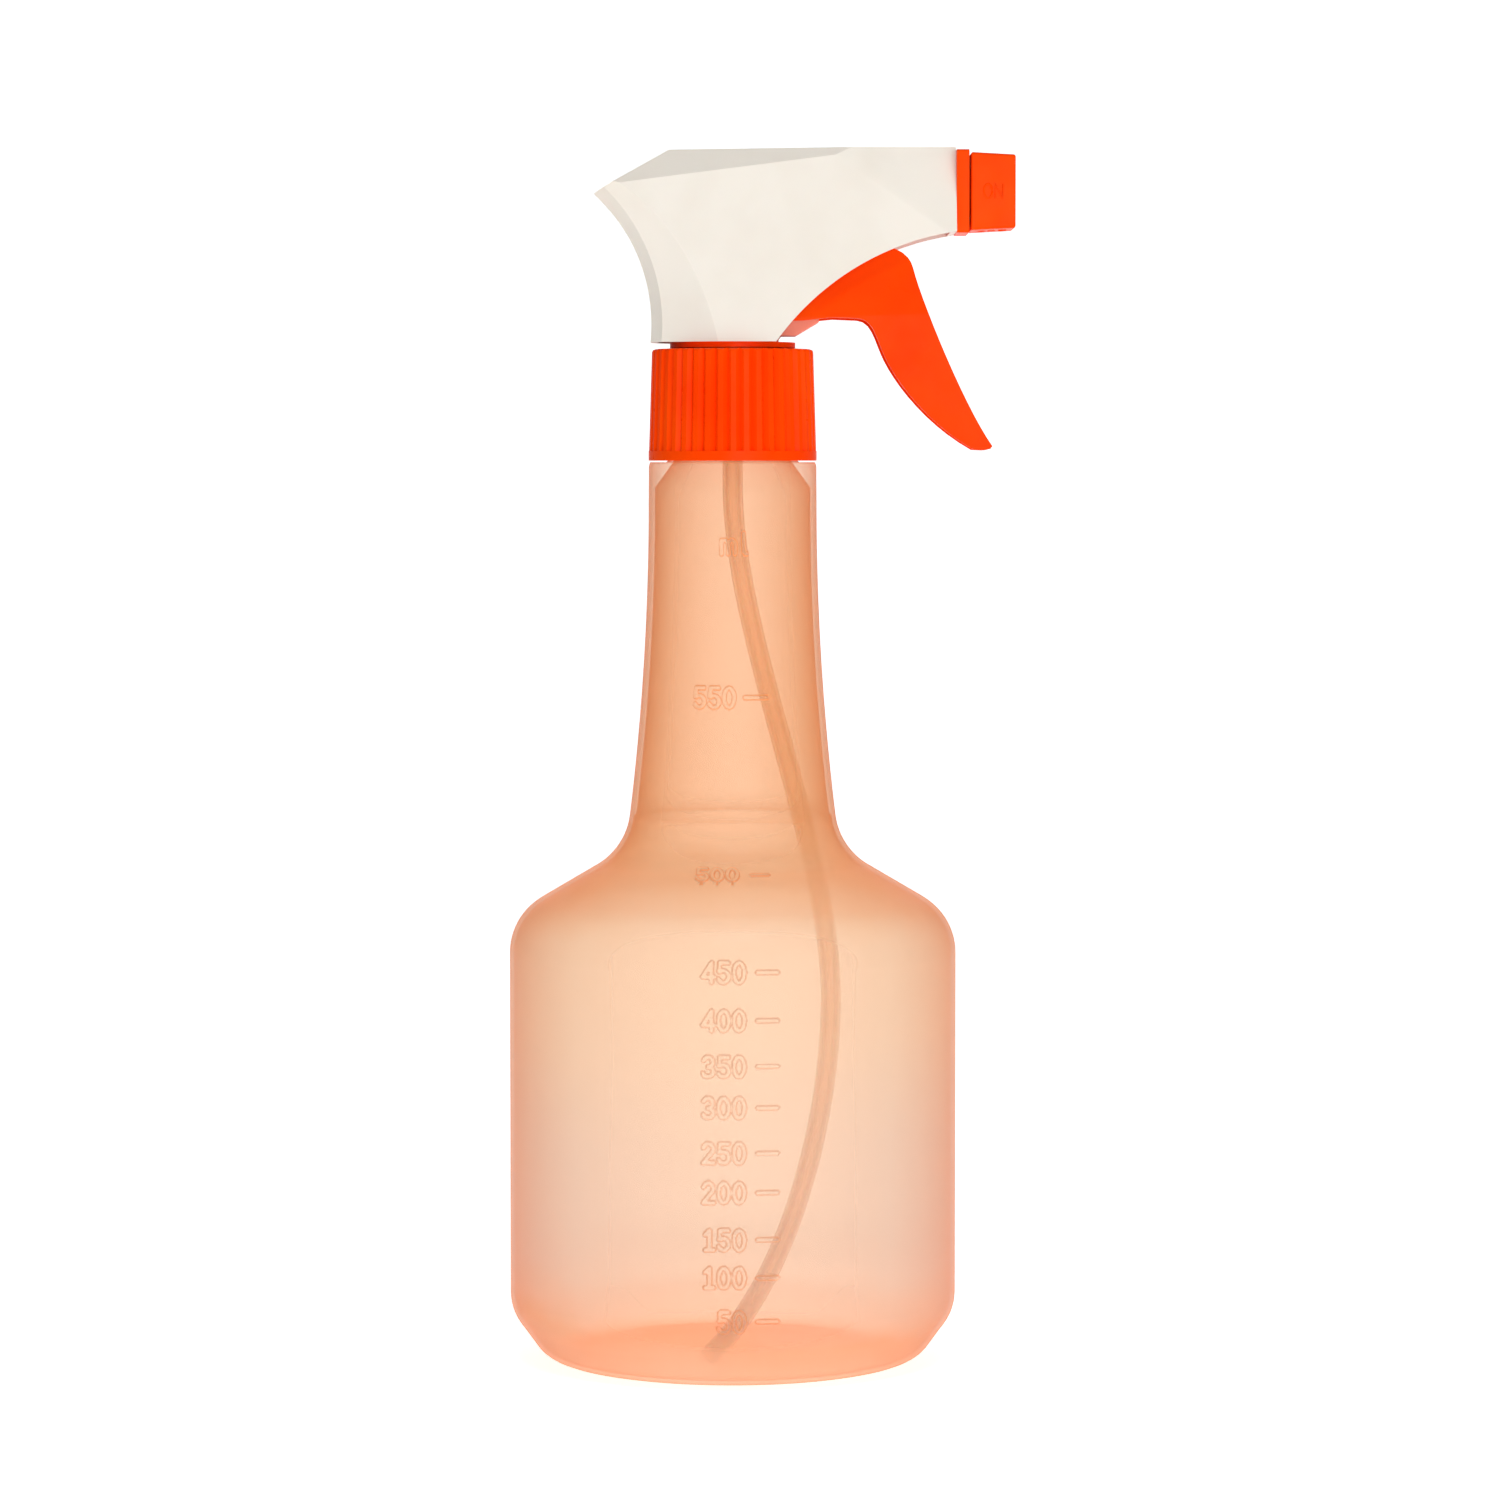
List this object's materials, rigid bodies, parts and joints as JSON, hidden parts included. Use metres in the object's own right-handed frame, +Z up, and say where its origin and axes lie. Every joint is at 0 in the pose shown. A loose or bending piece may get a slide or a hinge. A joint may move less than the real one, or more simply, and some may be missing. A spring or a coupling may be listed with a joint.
{
  "type": "trigger spray bottle",
  "caption": "Translucent graduated bottle with a ribbed screw closure, a faceted trigger sprayer head, a square nozzle and a bowed dip tube.",
  "frame": {"origin": "bottle axis on the plane of the bottle's standing ring", "axes": "+X the way the nozzle sprays, +Z up along the bottle's axis"},
  "size_m": [0.0989, 0.0881, 0.2374],
  "materials": {
    "translucent_polyethylene": "translucent, slightly cloudy",
    "orange_polypropylene": "satin to gloss",
    "salmon_polypropylene": "satin",
    "white_polypropylene": "satin",
    "natural_polypropylene": "satin",
    "tube_polyethylene": "translucent",
    "soft_liner": "soft matt",
    "seal_rubber": "matt",
    "stainless_steel": "bright drawn"
  },
  "bodies": {
    "bottle": {"bottle": "translucent_polyethylene"},
    "sprayer": {"pump_body": "orange_polypropylene", "cylinder_bracket": "salmon_polypropylene", "barrel_plug": "orange_polypropylene", "shroud": "white_polypropylene", "nose_plate": "orange_polypropylene", "tube_holder": "natural_polypropylene", "dip_tube": "tube_polyethylene", "closure_gasket": "soft_liner", "return_spring": "stainless_steel", "cylinder_ring": "orange_polypropylene", "outlet_spring": "stainless_steel", "spinner": "natural_polypropylene", "nozzle_seal": "seal_rubber"},
    "closure": {"closure": "orange_polypropylene"},
    "trigger": {"trigger": "orange_polypropylene", "plunger_pin": "natural_polypropylene"},
    "plunger": {"plunger": "natural_polypropylene", "piston_seal": "soft_liner"},
    "nozzle": {"nozzle": "orange_polypropylene"},
    "inlet_ball": {"inlet_ball": "stainless_steel"},
    "outlet_valve": {"outlet_valve": "natural_polypropylene"}
  },
  "joints": [
    {"name": "head_lift", "type": "slide", "parent": "bottle", "child": "sprayer", "axis": [0, 0, 1], "range_m": [0, 0.00635]},
    {"name": "closure_turn", "type": "hinge", "parent": "sprayer", "child": "closure", "pos_m": [0, 0, 0.185], "axis": [0, 0, 1], "range_deg": [0, 540]},
    {"name": "trigger_pull", "type": "hinge", "parent": "sprayer", "child": "trigger", "pos_m": [0.0305, 0, 0.22875], "axis": [0, 1, 0], "range_deg": [0, 20], "stiffness_Nm_per_rad": 0.5, "springref_deg": -20.05},
    {"name": "plunger_stroke", "type": "slide", "parent": "sprayer", "child": "plunger", "axis": [-1, 0, 0], "range_m": [0, 0.00602], "deforming": ["return_spring"]},
    {"name": "nozzle_turn", "type": "hinge", "parent": "sprayer", "child": "nozzle", "pos_m": [0.05, 0, 0.22875], "axis": [1, 0, 0], "continuous": true},
    {"name": "inlet_lift", "type": "slide", "parent": "sprayer", "child": "inlet_ball", "axis": [0, 0, 1], "range_m": [0, 0.0012]},
    {"name": "outlet_open", "type": "slide", "parent": "sprayer", "child": "outlet_valve", "axis": [1, 0, 0], "range_m": [0, 0.001], "stiffness_N_per_m": 200, "springref_m": -0.002, "deforming": ["outlet_spring"]}
  ],
  "couplings": [
    {"joint": "closure_turn", "follows": "head_lift", "rad_per_m": 1484.3},
    {"joint": "trigger_pull", "follows": "plunger_stroke", "rad_per_m": 57.971}
  ]
}
